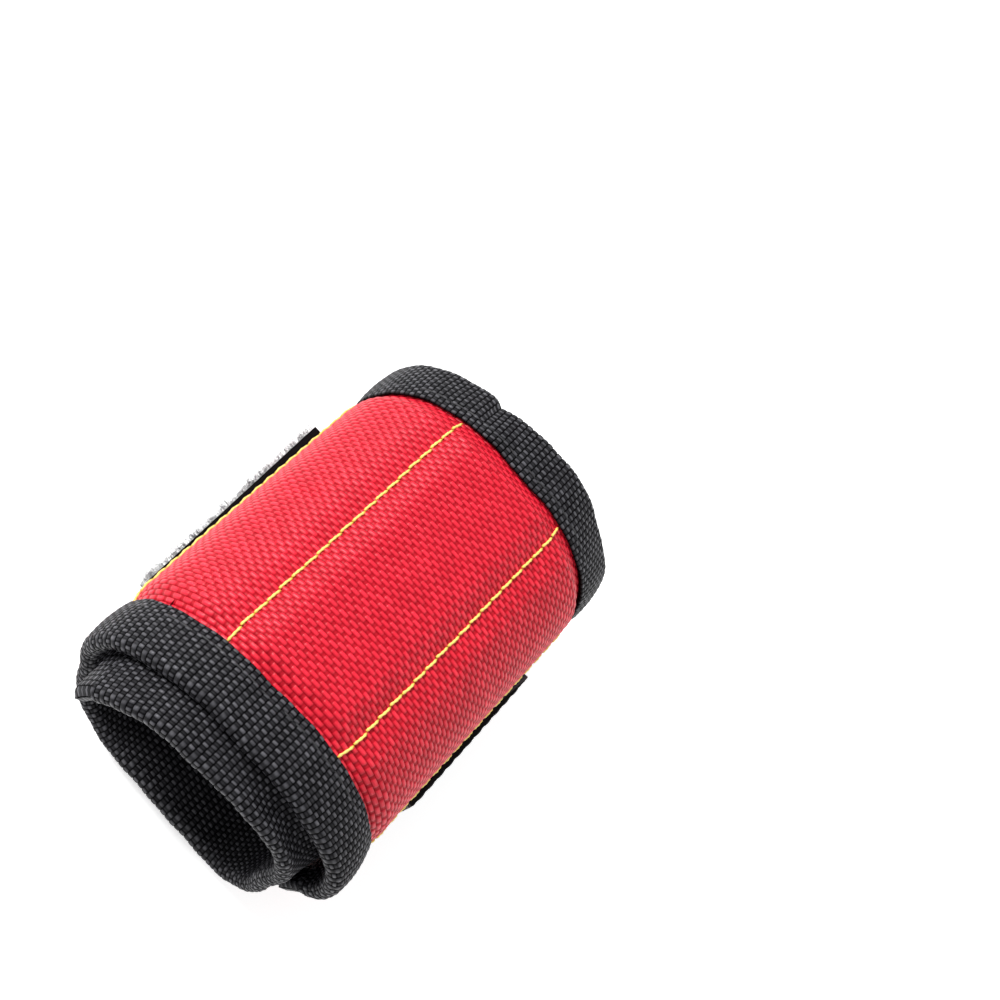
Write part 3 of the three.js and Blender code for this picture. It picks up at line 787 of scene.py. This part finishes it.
# the second colour is painted shade where a stitch dips into its needle holes
thread_yellow = fabric("thread_yellow", (0.97, 0.77, 0.19), (0.6, 0.34, 0.03), 0.45, 0.3, mottle=0.06)
t = np.linspace(0, 1, STITCH_POINTS)
for k, row in enumerate(ROWS, 1):
    dice = np.random.default_rng(40 + k)
    stitches = []
    for place in np.linspace(-ROW_HALF, ROW_HALF - STITCH, ROW_STITCHES):
        x = place + STITCH_GAP + STITCH_LONG * t
        off_line = dice.normal(0, STITCH_UNEVEN)
        s = row + STITCH_SLANT * (t - 0.5) + off_line
        out = cover_height(x, s) + STITCH_LIFT + STITCH_ARCH * np.sin(np.pi * t) ** 0.5
        stitches.append(tube(lay(x, out, s), THREAD * MM, STITCH_SIDES, twist=9.0, plies=2))
    points, faces = gather(stitches)
    # painted shade: each stitch darkens towards its ends, where it dips into its needle holes
    tone_and_shade = np.tile(np.repeat(np.clip(np.sin(np.pi * t) * 2.2, 0, 1), STITCH_SIDES), ROW_STITCHES)
    corners = faces.ravel()
    cloth = np.stack([points[corners, 0], points[corners, 1] + points[corners, 2]], 1) / MM
    thread = make_object(f"stitches_{k}", points, faces.tolist(), {"cloth": cloth}, tone_and_shade, [thread_yellow])
    if k < len(ROWS):
        join_band(thread, f"fold_{k}", "strap" if k == 1 else f"pocket_{k - 1}", f"pocket_{k}")
    else:
        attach(thread, "pocket_3")
    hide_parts(f"stitch_row_{k}")

# Loop strip: black fuzzy loop tape sewn on the outer face of the band before the first stitch row. Its pile
# is thousands of fine thread loops, taller and thinner at the free end that the hook tab doesn't cover.
LOOP_FROM = 85.44
LOOP_TO = 147.63
LOOP_LOW = -26
LOOP_HIGH = 24
LOOP_FREE_FROM, LOOP_FREE_TO = 134, 138
LOOP_TOP = 3.3
LOOP_UNDER = 2.8
LOOP_STEP = 1.2
LOOP_COLUMNS = 42
LOOPS = 6600
LOOP_POINTS = 6
LOOP_SIDES = 3
LOOP_ROOT = 3.25
LOOP_SIZES = (0.35, 0.8)
LOOP_HEIGHTS = (0.7, 1.2)
LOOP_THREAD = 0.05
FREE_LIFT = 0.8
FREE_SLANT = 0.028
FREE_TALLER = 1.1
FREE_THINNER = 0.02
pile_black = fabric("loop_pile", (0.24, 0.24, 0.25), (0.04, 0.04, 0.042), 0.5, 0.5, mottle=0.2)


def loop_lift(s, x):
    # the free end stands off the band, more towards high x
    return smooth(s, LOOP_FREE_FROM, LOOP_FREE_TO) * (FREE_LIFT + FREE_SLANT * x)


s = stations(LOOP_FROM, LOOP_TO, LOOP_STEP)
x = np.linspace(LOOP_LOW, LOOP_HIGH, LOOP_COLUMNS)
top = LOOP_TOP + loop_lift(s[:, None], x[None])
base = skin("loop_strip_base", s, np.concatenate([x, x[::-1]]),
            np.concatenate([top, np.full(top.shape, LOOP_UNDER)], 1), tape_black,
            tone_and_shade=np.full((len(s), 2 * LOOP_COLUMNS), 0.5))
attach(base, "strap")
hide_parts("loop_strip")
dice = np.random.default_rng(11)
root_s = dice.uniform(LOOP_FROM + 0.2, LOOP_TO - 0.1, LOOPS)
root_x = dice.uniform(LOOP_LOW + 0.2, LOOP_HIGH - 0.2, LOOPS)
way, size = dice.uniform(0, 2 * np.pi, LOOPS), dice.uniform(*LOOP_SIZES, LOOPS)
free = smooth(root_s, LOOP_FREE_FROM, LOOP_FREE_TO)
tall = dice.uniform(*LOOP_HEIGHTS, LOOPS) * (1 + FREE_TALLER * free * dice.random(LOOPS) ** 2)
turn = np.linspace(0, np.pi, LOOP_POINTS)
loop_x = root_x[:, None] + (size * np.cos(way))[:, None] * np.cos(turn)[None]
loop_s = root_s[:, None] + (size * np.sin(way))[:, None] * np.cos(turn)[None]
loop_out = LOOP_ROOT + loop_lift(root_s, root_x)[:, None] + tall[:, None] * np.sin(turn)[None] ** 0.7
paths = lay(loop_x, loop_out, loop_s)
thickness = LOOP_THREAD - FREE_THINNER * free
points, faces = gather([tube(path, thick * MM, LOOP_SIDES) for path, thick in zip(paths, thickness)])
corners = faces.ravel()
cloth = np.stack([points[corners, 0], points[corners, 2]], 1) / MM
pile = make_object("loop_pile", points, faces.tolist(), {"cloth": cloth},
                   np.repeat(dice.random(LOOPS), LOOP_POINTS * LOOP_SIDES), [pile_black])
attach(pile, "strap")

# Hook tab: a strip of black hook tape. Its root is folded under and sewn on the outside of the tail with a
# box of black thread. It crosses the underside and grips the loop strip; its moulded hooks face the band.
TAB_FROM = 220.57
TAB_FOLD = 231.87
TAB_PART = 251.5
TAB_PEEL = 271.47
TAB_TO = 281.86
TAB_HALF = 19
TAB_TOP = 1.62
HOOK_FACE = 0.75
TAB_COLUMNS = 12
TAB_ON_TAIL = 6.3  # from the oval
TAB_ON_LOOP = 4.5  # from the band below
TAB_BEND = 3.5
TAB_BEND_OUT = 0.9
TAB_RIB_HEIGHT = 0.18
PAST_TAIL = 1  # this far past the tail's end, the tab leaves it and the hooks start
DOWN_BY = 16  # this far past the tail's end, the tab has come down to the loop strip
ROOT_FLAT_TO = 221
ROOT_FOLD_TO = 226
HOOK_PITCH = 1.5
HOOK_HALF = 18
HOOK_LEAN = 0.45
HOOK_CURL = 0.62  # share of a half turn
HOOK_THICK = 0.11
HOOKS_FROM = 0.8
HOOKS_TO = 0.6
BOX_HALF = 17
BOX_FROM = 222.2
BOX_TO = 228.6
BOX_STITCH = 3.2
BOX_THREAD = 0.26
BOX_LIFT = 0.1
BOX_ARCH = 0.25
hook_black = fabric("hook_plastic", (0.04, 0.04, 0.044), (0.02, 0.02, 0.022), 0.35, 0.6, mottle=0.1)


def tab_rise(s):
    # from the tail's bound end down to the loop strip
    on_loop = band_rise(s - ROUND) + TAB_ON_LOOP
    return TAB_ON_TAIL + (on_loop - TAB_ON_TAIL) * smooth(s, TAIL_END + PAST_TAIL, TAIL_END + DOWN_BY)


def no_shift(s):
    # the tab lies straight, not askew
    return 0 * s


for name, start, end, bodies, fold, nodes in (
    ("hook_tab_root", TAB_FROM, TAB_PART, ("pocket_3", "tab"), TAB_FOLD, ("tab_root", "tab_middle")),
    ("hook_tab_end", TAB_PART, TAB_TO, ("tab", "tab_tip"), TAB_PEEL + TAB_BEND, ("tab_tip",)),
):
    s = stations(start, end, TAPE_RIB, PLACES)
    x = np.concatenate([[-TAB_HALF], spaced(-TAB_HALF, TAB_HALF, TAPE_YARN, PLACES), [TAB_HALF]])
    ribs, tone_and_shade = weave(np.interp(s, TRACK, FACE)[:, None], x[None], TAPE_RIB, TAPE_YARN, RIB_LIFT)
    below = np.linspace(TAB_HALF, -TAB_HALF, TAB_COLUMNS)
    hooks = []
    t = np.linspace(0, 1, 6)
    hook_out = HOOK_FACE - HOOK_FACE * np.sin(np.pi * HOOK_CURL * t)
    for at in np.arange(max(start, TAIL_END + PAST_TAIL) + HOOKS_FROM, end - HOOKS_TO, HOOK_PITCH):
        for place in np.arange(-HOOK_HALF, HOOK_HALF + 0.1, HOOK_PITCH):
            path = lay(place + HOOK_LEAN * t ** 2, hook_out, at + 0 * t, tab_rise, no_shift)
            hooks.append(tube(path, HOOK_THICK * MM, 4))
    extras = [(*gather(hooks), 0.6, 1)]
    if name == "hook_tab_root":
        seam = []
        t = np.linspace(0.06, 0.94, 8)
        box = (
            (-BOX_HALF, BOX_HALF, BOX_FROM, BOX_FROM),
            (-BOX_HALF, BOX_HALF, BOX_TO, BOX_TO),
            (-BOX_HALF, -BOX_HALF, BOX_FROM, BOX_TO),
            (BOX_HALF, BOX_HALF, BOX_FROM, BOX_TO),
        )
        for x0, x1, s0, s1 in box:
            pieces = round(max(abs(x1 - x0), abs(s1 - s0)) / BOX_STITCH)
            for n in range(pieces):
                along = (n + t) / pieces
                path = lay(x0 + (x1 - x0) * along, TAB_TOP + BOX_LIFT + BOX_ARCH * np.sin(np.pi * t),
                           s0 + (s1 - s0) * along, tab_rise, no_shift)
                seam.append(tube(path, BOX_THREAD * MM, SEAM_SIDES))
        extras.append((*gather(seam), SEAM_TONE, 2))
    plain = np.zeros((len(s), TAB_COLUMNS))
    # the fold of the root fills the space down to the tail
    folded = np.repeat(1 - smooth(s, ROOT_FLAT_TO, ROOT_FOLD_TO)[:, None], TAB_COLUMNS, 1)
    tab = skin(name, s, np.concatenate([x, below]),
               np.concatenate([np.full((len(s), len(x)), TAB_TOP), HOOK_FACE - folded], 1),
               [tape_black, hook_black, thread_black], np.concatenate([TAB_RIB_HEIGHT * ribs, plain], 1),
               np.concatenate([tone_and_shade, plain + 0.5], 1), tab_rise, no_shift, extras)
    bend_at(tab, *bodies, fold, TAB_BEND, TAB_BEND_OUT, tab_rise)
    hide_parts(*nodes)

# Inside the band: a foam filler in the strap, and in each pocket a grey board with five nickel-plated disc
# magnets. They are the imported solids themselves, with their finishes.
foam = fabric("filler_foam", (0.72, 0.68, 0.58), (0.5, 0.46, 0.38), 0.85, 0.2, grain=2.0, mottle=0.12)
board = fabric("carrier_board", (0.30, 0.30, 0.29), (0.2, 0.2, 0.19), 0.7, 0.4, grain=3.0, mottle=0.15)
nickel = fabric("nickel_plate", (0.62, 0.61, 0.58), (0.5, 0.49, 0.46), 0.28, 0.5, grain=5.0, mottle=0.05)
nickel.node_tree.nodes["Principled BSDF"].inputs["Metallic"].default_value = 1
for name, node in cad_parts.items():
    for word, finish in (("filler", foam), ("carrier", board), ("magnet", nickel)):
        if word in name:
            node.data.materials.clear()
            node.data.materials.append(finish)
